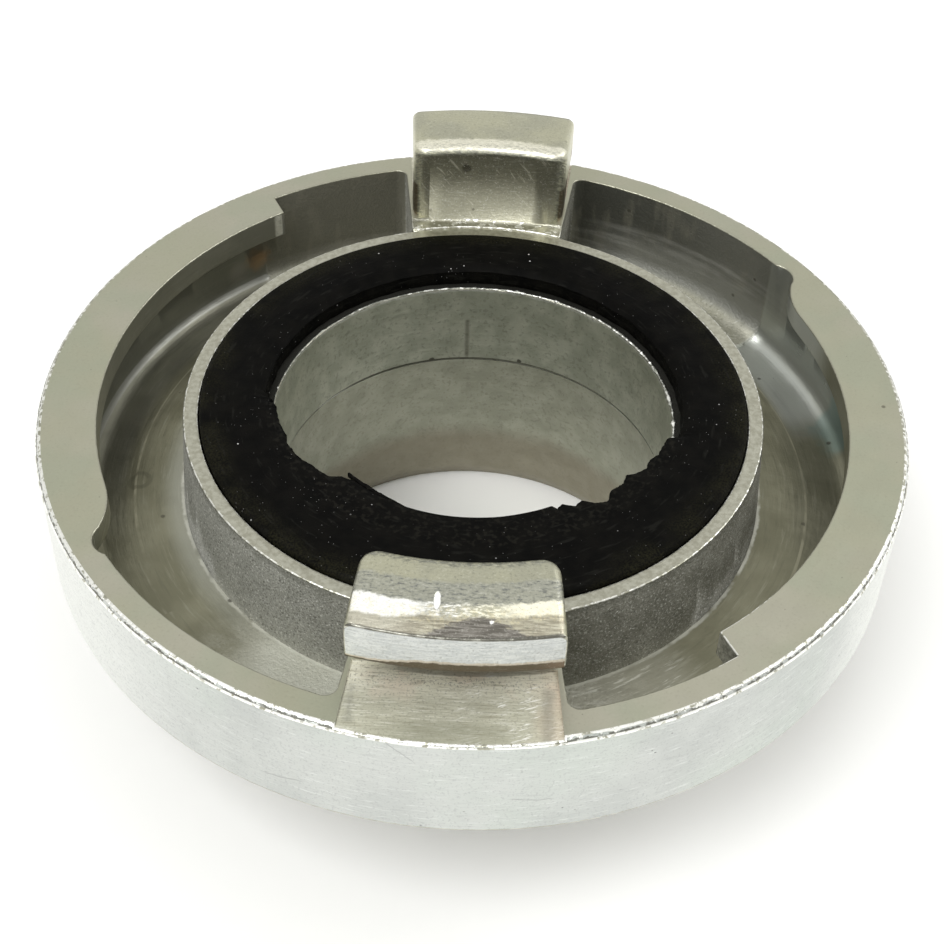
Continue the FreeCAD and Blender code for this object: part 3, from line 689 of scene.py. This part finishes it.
def underside():
    """What lies below the ring: plain sand casting, its hexagon and web turned and filed."""
    m = Maker("underside", 1.0, 0.5)
    lumps = m.noise(0.22, 4, offset=14.0)
    grain = m.noise(1.8, 4, rough=0.65)
    m.base(lumps.step(0.35, 0.66), (0.43, 0.43, 0.395), (0.52, 0.522, 0.49))
    m.paint(grain.step(0.46, 0.34) * 0.5, (0.24, 0.235, 0.2))
    m.paint(grain.step(0.58, 0.7) * 0.4, (0.72, 0.72, 0.69))
    lines = m.noise(1.0, 3, at=m.lathe(6.0, 2.4))
    height = grain * 0.8 + lumps * 1.6 + lines * 0.4
    return m.finish(m.noise(0.5, 3).between(0.36, 0.6), height, 0.1)


def worn_edge():
    """Broken edges of the casting, rubbed bright on the rims and a little more in front as painted
    highlight, dull elsewhere, darker deep in the channels, with painted shade under the hooks.
    """
    m = Maker("worn_edge", 1.0, 0.34)
    wear = m.noise(0.55, 4, offset=9.0, rough=0.6).step(0.44, 0.62)
    m.base(wear, (0.4, 0.395, 0.32), (0.64, 0.635, 0.56))
    # the rims' edges are rubbed bare, a little more in front as painted highlight
    rim = m.z.step(FACE_Z - 1.4, FACE_Z - 1.0) * m.z.step(FACE_Z + 0.6, FACE_Z + 0.2)
    front = (m.y / m.r).step(0.1, -0.5)
    broken = m.noise(1.2, 3, offset=27)
    outside = m.r.step(61.6, 61.9) * (broken + front * 0.12).step(0.5, 0.6)
    inside = m.r.step(43.2, 42.8) * broken.step(0.44, 0.58)
    m.paint(rim * m.most(outside, inside * 0.8), BARE_METAL)
    m.paint(rim * m.r.band(46.0, 60.0, 0.8) * 0.85, (0.43, 0.425, 0.34))
    stop = m.away(FRONT_STOP_EDGE).step(8.5, 7.0) * broken.step(0.36, 0.48)
    m.paint(stop * 0.8, (1.0, 1.0, 0.95))
    deep = m.z.step(46.6, 44.0) * m.z.step(30.5, 31.5)
    m.paint(deep * 0.75, (0.23, 0.225, 0.185))
    crease = abs(m.z - HOOK_Z).step(0.5, 0.3) * m.r.step(HOOK_R - 0.6, HOOK_R - 0.3)
    m.paint(crease * wear.between(0.9, 0.6), (0.13, 0.125, 0.11))
    # painted shade on the edges round the lugs' necks under the hooks
    neck_shade = m.z.band(49.0, 54.6, 0.4) * m.r.step(45.5, 50.0)
    m.paint(neck_shade * 0.7, (0.18, 0.14, 0.085))
    return m.finish(m.noise(1.0, 2).between(0.28, 0.46), m.noise(2.0, 3) + m.noise(0.5, 2), 0.09)


def thread_metal():
    """Machined thread: bright flanks with fine turning lines, darker in its root."""
    m = Maker("thread_metal", 1.0, 0.34)
    m.base(m.noise(0.35, 4, offset=3.0).step(0.38, 0.64), (0.56, 0.56, 0.515), (0.68, 0.68, 0.64))
    root = (m.r + m.noise(0.8, 3) * 0.5).step(THREAD_ROOT_R + 0.85, THREAD_ROOT_R + 0.35)
    m.paint(root * 0.75, (0.17, 0.165, 0.135))
    lines = m.noise(1.0, 3, at=m.lathe(10.0, 6.0))
    return m.finish(lines.between(0.24, 0.44), lines * 0.6 + m.noise(1.2, 3) * 0.8, 0.04)


def burr_metal():
    """Raw bright metal of the burr round the bore's upper edge."""
    m = Maker("burr_metal", 1.0, 0.3)
    wear = (m.noise(1.1, 3, offset=5.0) - m.x.step(12.0, -28.0) * 0.14).step(0.4, 0.6)
    m.base(wear, (0.33, 0.34, 0.3), (0.97, 0.97, 0.93))
    return m.finish(m.noise(1.6, 3).between(0.22, 0.42), m.noise(2.4, 3), 0.12)


def rubber():
    """Seal rubber: black, with olive dust and painted sheen towards its outer edge, and specks of
    white dust.
    """
    m = Maker("rubber", 0.0, 0.6, specular=0.05)
    mottle = m.noise(0.35, 4, offset=2.0)
    m.base(mottle.step(0.36, 0.66), (0.0012, 0.0012, 0.001), (0.003, 0.0028, 0.0022))
    # olive dust and painted sheen towards the outer edge
    dust_and_sheen = m.r.step(35.0, 39.4) * m.noise(0.12, 3, offset=31.0).step(0.36, 0.6)
    dust_and_sheen = dust_and_sheen * m.noise(3.6, 4, offset=44, rough=0.65).step(0.36, 0.66)
    m.paint(dust_and_sheen * 0.6, (0.022, 0.021, 0.01))
    torn = m.r.step(30.9, 29.6)
    m.paint(torn * m.noise(1.2, 3).step(0.5, 0.66) * 0.4, (0.018, 0.017, 0.013))
    smear = m.noise(1.0, 3, at=m.lathe(10.0, 1.6), offset=5)
    m.paint(smear.step(0.58, 0.72) * 0.5, (0.013, 0.013, 0.011))
    few = m.noise(0.1, 1, offset=15.0).step(0.5, 0.6)
    specks = m.cells(0.42, offset=6.0).step(0.07, 0.035) * few
    m.paint(specks * 0.85, (0.6, 0.6, 0.59))
    fine = (m.cells(1.4, offset=22.0).step(0.085, 0.05) *
            m.noise(0.16, 2, offset=52.0).step(0.48, 0.6))
    m.paint(fine * 0.65, (0.35, 0.35, 0.34))
    height = m.noise(1.4, 4, rough=0.6) * 0.7 + mottle + specks * 0.5 + smear * 0.6
    return m.finish(m.noise(0.5, 3, offset=9.0).between(0.46, 0.72), height, 0.06)


# ---------------------------------------------------------------- casting

ZONES = (("turned", turned_face), ("side", ring_side), ("channel", channel), ("rough", rough_cast),
         ("rim", collar_rim), ("lug", lug_face), ("milled", milled_strip), ("bore", bore_wall),
         ("under", underside), ("edge", worn_edge))
ZONE = {name: index for index, (name, _) in enumerate(ZONES)}


def is_step(face):
    """True for the low walls round the milled strips."""
    centre = face.calc_center_median() / MM
    return abs(face.normal.z) < 0.5 and FACE_Z - 0.4 < centre.z < FACE_Z and abs(centre.y) > 50


def zone_of(face):
    """Which finish a face of the casting has, from where it is and how it faces."""
    centre = face.calc_center_median() / MM
    normal = face.normal
    radius = math.hypot(centre.x, centre.y)
    outward = (normal.x * centre.x + normal.y * centre.y) / max(radius, 1e-6)
    if is_step(face):
        return "milled"
    if centre.z > FACE_Z + 0.02:
        return "lug"
    if 45 < radius < 52 and centre.z > FACE_Z - 0.3 and normal.z < 0.9:
        return "lug"
    if radius < 36.5 and outward < -0.2 and not (radius > LAND_R - 0.1 and centre.z > GROOVE_Z):
        return "bore"
    if normal.z > 0.9 and centre.z > FACE_Z - 0.05:
        return "turned"
    if normal.z > 0.9 and centre.z > FACE_Z - STRIP_DEPTH:
        return "milled"
    if radius < LUG_INNER_R + 0.6 and centre.z > FACE_Z - 1.2:
        return "rim"
    if radius > RING_R - 2.0 and centre.z > RING_BASE_Z + 0.2:
        return "side"
    if centre.z < CHANNEL_FLOOR_Z - 1.1:
        return "under"
    if outward > 0.3 and radius < COLLAR_FOOT_R + 0.3:
        return "rough"
    flank = abs(centre.x) < LUG_HALF_WIDTH and abs(centre.y) > COLLAR_RIM_R - 0.5
    if flank and abs(normal.x) > 0.8:
        return "rough"
    if radius > LAND_R - 3.1:
        return "channel"
    return "rough"


def is_broken(edge):
    """True for a sharp edge that wear has broken, but not at the lugs' rounds or bore's line."""
    middle = (edge.verts[0].co + edge.verts[1].co) / (2 * MM)
    radius = math.hypot(middle.x, middle.y)
    if middle.z > HOOK_Z - 2 and radius < HOOK_R - 0.5:
        return False
    if radius < WATERWAY_R + 1.7 and abs(middle.z - BORE_LINE_Z) < 1:
        return False
    # the cutter's low step in the channels' floor, the ends of the strips, the lugs' feet
    if radius > COLLAR_FOOT_R + 0.6 and CHANNEL_FLOOR_Z - 1.6 < middle.z < CHANNEL_FLOOR_Z + 3.9:
        return False
    if abs(edge.verts[0].co.z - edge.verts[1].co.z) < 0.05 * MM:
        foot = radius < 45 and abs(middle.y) > 42 and abs(middle.z - FACE_Z) < 0.05
        if foot or any(is_step(face) for face in edge.link_faces):
            return False
    sharp = edge.is_convex and len(edge.link_faces) == 2
    return sharp and edge.calc_face_angle() > math.radians(32)


def casting_mesh():
    """A copy of the casting's mesh with its flat faces joined and its edges broken."""
    bm = bmesh.new()
    bm.from_mesh(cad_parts["coupling_body"].data)
    bmesh.ops.remove_doubles(bm, verts=bm.verts, dist=2e-6)
    # the thread's outside goes down to its root; the helix stands on it
    for vert in bm.verts:
        radius = math.hypot(vert.co.x, vert.co.y)
        if vert.co.z < (THREAD_END_Z + 0.2) * MM and radius > THREAD_ROOT_R * MM:
            scale = (THREAD_ROOT_R - 0.05) * MM / radius
            vert.co.x *= scale
            vert.co.y *= scale
    bmesh.ops.remove_doubles(bm, verts=bm.verts, dist=2e-6)
    bmesh.ops.dissolve_limit(bm, angle_limit=math.radians(0.4), verts=bm.verts, edges=bm.edges)
    bm.normal_update()
    for face in bm.faces:
        face.material_index = ZONE[zone_of(face)]
    sharp = [edge for edge in bm.edges if is_broken(edge)]
    bmesh.ops.bevel(bm, geom=sharp, offset=EDGE_WIDTH * MM, offset_type="OFFSET", segments=2,
                    profile=0.5, affect="EDGES", loop_slide=True, material=ZONE["edge"])
    # the lugs were cast standing a little to one side
    for vert in bm.verts:
        up = (vert.co.z / MM - FACE_Z) / (HOOK_UNDER_Z - FACE_Z)
        vert.co.x += LUG_LEAN * MM * min(max(up, 0.0), 1.0)
    mesh = bpy.data.meshes.new("casting")
    bm.to_mesh(mesh)
    bm.free()
    for face in mesh.polygons:
        face.use_smooth = True
    mesh.set_sharp_from_angle(angle=math.radians(40))
    for _, make in ZONES:
        mesh.materials.append(make())
    return mesh


def make_casting():
    body = new_object("casting", casting_mesh())
    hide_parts("coupling_body")
    weighted = body.modifiers.new("flat", "WEIGHTED_NORMAL")
    weighted.keep_sharp = True


# ---------------------------------------------------------------- thread and burr

def make_thread():
    """Male thread: a helical ridge from the chamfered end to the relief groove."""
    around = 240
    # share of the pitch and of the ridge's height
    profile = ((0.0, 0.0), (0.06, 0.02), (0.30, 0.60), (0.44, 0.97), (0.50, 1.0), (0.56, 0.97),
               (0.70, 0.60), (0.94, 0.02))
    height = THREAD_R - THREAD_ROOT_R
    turns = int(THREAD_END_Z / THREAD_PITCH) + 2
    points = []
    rows = []
    for step in range(turns * around + 1):
        turn = step / around
        row = []
        for share, crest in profile:
            z = (turn + share - 1) * THREAD_PITCH
            limit = min(THREAD_R - THREAD_CHAMFER + max(z, 0.0),
                        THREAD_R - (z - THREAD_END_Z + THREAD_FADE) * 0.9)
            radius = THREAD_ROOT_R + height * crest
            radius += 0.02 * wobble(turn * 360 % 360, 3.0 + share, 40) * crest
            radius = max(min(radius, limit), THREAD_ROOT_R - 0.02)
            z = min(max(z, 0.12), THREAD_END_Z)
            row.append(len(points))
            points.append(polar(radius, turn * 360, z))
        rows.append(row)
    faces = []
    for low, high in zip(rows, rows[1:]):
        faces += [(low[k], high[k], high[k + 1], low[k + 1]) for k in range(len(profile) - 1)]
    # each turn's last flank meets the first point of the turn above
    for step in range((turns - 1) * around):
        low, high = rows[step], rows[step + 1]
        over, next_over = rows[step + around], rows[step + around + 1]
        faces.append((low[-1], high[-1], next_over[0], over[0]))
    mesh = mesh_from("thread", points, faces)
    bm = bmesh.new()
    bm.from_mesh(mesh)
    bmesh.ops.remove_doubles(bm, verts=bm.verts, dist=1e-6)
    bmesh.ops.dissolve_degenerate(bm, edges=bm.edges, dist=1e-6)
    bmesh.ops.delete(bm, geom=[vert for vert in bm.verts if not vert.link_faces], context="VERTS")
    # an inner wall, sunk in the spigot, closes the ridge to a solid ring
    rim = [edge for edge in bm.edges if len(edge.link_faces) == 1]
    inner = bmesh.ops.extrude_edge_only(bm, edges=rim)["geom"]
    for vert in (item for item in inner if isinstance(item, bmesh.types.BMVert)):
        scale = (THREAD_ROOT_R - 1.0) * MM / math.hypot(vert.co.x, vert.co.y)
        vert.co.x *= scale
        vert.co.y *= scale
    bmesh.ops.bridge_loops(bm, edges=[item for item in inner if isinstance(item, bmesh.types.BMEdge)
                                      and len(item.link_faces) == 1])
    bmesh.ops.recalc_face_normals(bm, faces=bm.faces)
    bm.to_mesh(mesh)
    bm.free()
    mesh.materials.append(thread_metal())
    piece = new_object("thread", mesh)


def make_burr():
    """Bumpy raw edge that stands up round the top of the bore."""
    count = 900
    section = 7
    points = []
    for n in range(count):
        angle = 360 * n / count
        size = 0.12 + 0.26 * max(wobble(angle, 1.0, 70, 3) + 0.15, 0)
        size += 0.22 * max(wobble(angle, 5.0, 260, 2), 0)
        size *= 0.75 - 0.25 * math.cos(math.radians(angle - 180))
        shift = 0.12 * wobble(angle, 9.0, 40)
        for k in range(section):
            turn = math.pi * k / (section - 1)
            lump = 1 + 0.25 * wobble(angle, 20.0 + k, 300, 1)
            radius = WATERWAY_R + 0.20 + shift - size * math.cos(turn) * 1.2 * lump
            points.append(polar(radius, angle, LAND_Z - 0.06 + size * math.sin(turn) * lump))
    mesh = mesh_from("bore_edge_burr", points, ring_strip(count, section))
    mesh.materials.append(burr_metal())
    piece = new_object("bore_edge_burr", mesh)


# ---------------------------------------------------------------- seal

def tear_reach(angle):
    """How far the lip reaches over the waterway at an angle, ragged where it is torn."""
    angle %= 360
    table = LEFT_TEAR + RIGHT_TEAR
    if angle <= LEFT_TEAR[0][0] or angle >= RIGHT_TEAR[-1][0]:
        return 0.0
    for (start, low), (end, high) in zip(table, table[1:]):
        if start <= angle <= end:
            reach = low + (high - low) * (angle - start) / (end - start)
            torn = min(max((LIP_REACH - reach) / 0.8, 0.0), 1.0)
            crumb = 0.30 if angle > 290 else 0.16
            ragged = wobble(angle, 2.0, 130, 3) + 0.5 * wobble(angle, 6.0, 420, 1)
            return max(reach + torn * crumb * ragged, 0.0)
    return 0.0


def seal_rows(angle):
    """Section of the seal at an angle, as (radius, z) points from its foot round and back."""
    reach = tear_reach(angle)
    foot_in = LAND_R + SEAL_CLEARANCE
    foot_out = COLLAR_BORE_R - SEAL_CLEARANCE
    torn_r = WATERWAY_R + TORN_EDGE + 0.18 * wobble(angle, 12.0, 60, 3)
    whole = min(reach / 0.5, 1.0)
    edge_r = torn_r + (WATERWAY_R - reach - torn_r) * whole
    slope = SEAL_FALL / (LAND_R - (WATERWAY_R - LIP_REACH))
    crest = SEAL_CREST_Z + 0.05 * wobble(angle, 30.0, 24)
    rows = [(foot_in, GROOVE_Z + STAND_OFF), (foot_out, GROOVE_Z + STAND_OFF),
            (foot_out, crest - 3.0)]
    for n in range(7):
        turn = math.radians(15 * n)
        rows.append((foot_out - SEAL_ROUND * (1 - math.cos(turn)),
                     crest - SEAL_ROUND * (1 - math.sin(turn))))
    for radius in (38.0, 36.5, 35.0, 33.6):
        rows.append((radius, crest - 0.04 * abs(wobble(angle, radius, 30))))
    rows.append((LAND_R, crest - 0.02))
    # the top falls towards the edge; where the lip is gone the edge rolls down to the land
    span = LAND_R - edge_r
    gone = 1 - whole
    round_off = 0.35 + 0.5 * gone
    for share in (0.35, 0.65, 0.88):
        rows.append((LAND_R - span * share, crest - slope * span * share - gone * 0.9 * share ** 2))
    top = crest - slope * span - gone * 0.9
    land = LAND_Z + STAND_OFF
    bottom = min(land + whole * slope_under(edge_r), top - 0.5)
    torn = whole > 0.2 and reach < LIP_REACH - 0.2
    crumble = 0.10 * wobble(angle, 44.0, 200, 2) if torn else 0.0
    rows.append((edge_r + round_off * 0.3, top - round_off * 0.25))
    rows.append((edge_r + crumble, top - round_off))
    rows.append((edge_r - crumble * 0.7, (top + bottom) / 2))
    rows.append((edge_r + 0.12, bottom + 0.12))
    under = min(edge_r + 0.6, LAND_R - 0.3)
    rows.append((under, land + whole * slope_under(under)))
    rows.append((LAND_R - 0.2, land))
    rows.append((foot_in, land))
    return rows


def slope_under(radius):
    """How far the lip's underside has climbed above the land at a radius."""
    climb = SEAL_CREST_Z - SEAL_FALL - LIP_THICKNESS - LAND_Z
    return max((WATERWAY_R - radius) / LIP_REACH, 0.0) * climb


def make_seal():
    count = 1200
    points = []
    width = len(seal_rows(0.0))
    for n in range(count):
        angle = 360 * n / count
        points += [polar(radius, angle, z) for radius, z in seal_rows(angle)]
    mesh = mesh_from("lip_seal", points, ring_strip(count, width))
    mesh.set_sharp_from_angle(angle=math.radians(50))
    mesh.materials.append(rubber())
    piece = new_object("lip_seal", mesh)
    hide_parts("seal_ring")
    make_sliver(mesh.materials[0])


def make_sliver(material):
    """Strip of the lip that has split off along its edge and hangs on at its right end."""
    count = 60
    points = []
    for n in range(count):
        share = n / (count - 1)
        angle = SLIVER_START + SLIVER_SPAN * share
        edge = WATERWAY_R - LIP_REACH
        off = 0.55 * (1 - share) ** 1.3 + 0.05
        thick = 0.25 + 0.75 * math.sin(math.pi * min(share * 1.1 + 0.12, 1.0)) ** 0.7
        thick *= 1 + 0.18 * wobble(angle, 3.0, 160)
        top = SEAL_CREST_Z - SEAL_FALL - 0.32 - 0.25 * (1 - share)
        inner = edge - off - thick * 0.75
        outer = edge - off + 0.02 * wobble(angle, 8.0, 200)
        section = ((outer, top), (inner + 0.2, top - 0.06), (inner, top - 0.4),
                   (inner + 0.12, top - thick), (outer, top - 1.1 * thick))
        points += [polar(radius, angle, z) for radius, z in section]
    faces = ring_strip(count, 5, closed=False)
    faces.append(tuple(range(5)))
    faces.append(tuple(len(points) - 5 + k for k in range(5)))
    mesh = mesh_from("seal_sliver", points, faces)
    mesh.materials.append(material)
    piece = new_object("seal_sliver", mesh)


# ---------------------------------------------------------------- stage

def make_floor():
    half = 3000
    corners = [(-half, -half, 0), (half, -half, 0), (half, half, 0), (-half, half, 0)]
    mesh = mesh_from("floor", corners, [(0, 1, 2, 3)], smooth=False)
    floor = bpy.data.objects.new("floor", mesh)
    bpy.context.scene.collection.objects.link(floor)
    material = bpy.data.materials.new("floor")
    material.use_nodes = True
    shader = material.node_tree.nodes["Principled BSDF"]
    shader.inputs["Base Color"].default_value = (0.98, 0.98, 0.975, 1)
    shader.inputs["Roughness"].default_value = 0.8
    mesh.materials.append(material)


def softbox(name, at, size, power):
    """A square area lamp, in metres and watts, turned towards the part's middle."""
    light = bpy.data.lights.new(name, "AREA")
    light.shape = "RECTANGLE"
    light.size = light.size_y = size
    light.energy = power
    lamp = bpy.data.objects.new(name, light)
    lamp.location = at
    lamp.rotation_euler = (Vector((0, 0, 0.03)) - Vector(at)).to_track_quat("-Z", "Y").to_euler()
    bpy.context.scene.collection.objects.link(lamp)


def make_light():
    world = bpy.data.worlds.new("studio")
    bpy.context.scene.world = world
    world.use_nodes = True
    background = world.node_tree.nodes["Background"].inputs
    background["Color"].default_value = (0.75, 0.75, 0.72, 1)
    background["Strength"].default_value = 1.0
    softbox("key", (-0.3, -0.5, 0.9), 0.5, power=6)
    softbox("fill", (0.7, 0.2, 0.6), 0.4, power=2)


def make_camera():
    data = bpy.data.cameras.new("camera")
    data.lens = LENS
    data.sensor_width = 36.0
    data.clip_start = 0.01
    camera = bpy.data.objects.new("camera", data)
    camera.matrix_world = Matrix.Translation(CAMERA_AT) @ Matrix(CAMERA_AXES).to_4x4()
    bpy.context.scene.collection.objects.link(camera)
    bpy.context.scene.camera = camera
    bpy.context.scene.view_settings.view_transform = "Standard"


make_casting()
make_thread()
make_burr()
make_seal()
make_floor()
make_light()
make_camera()
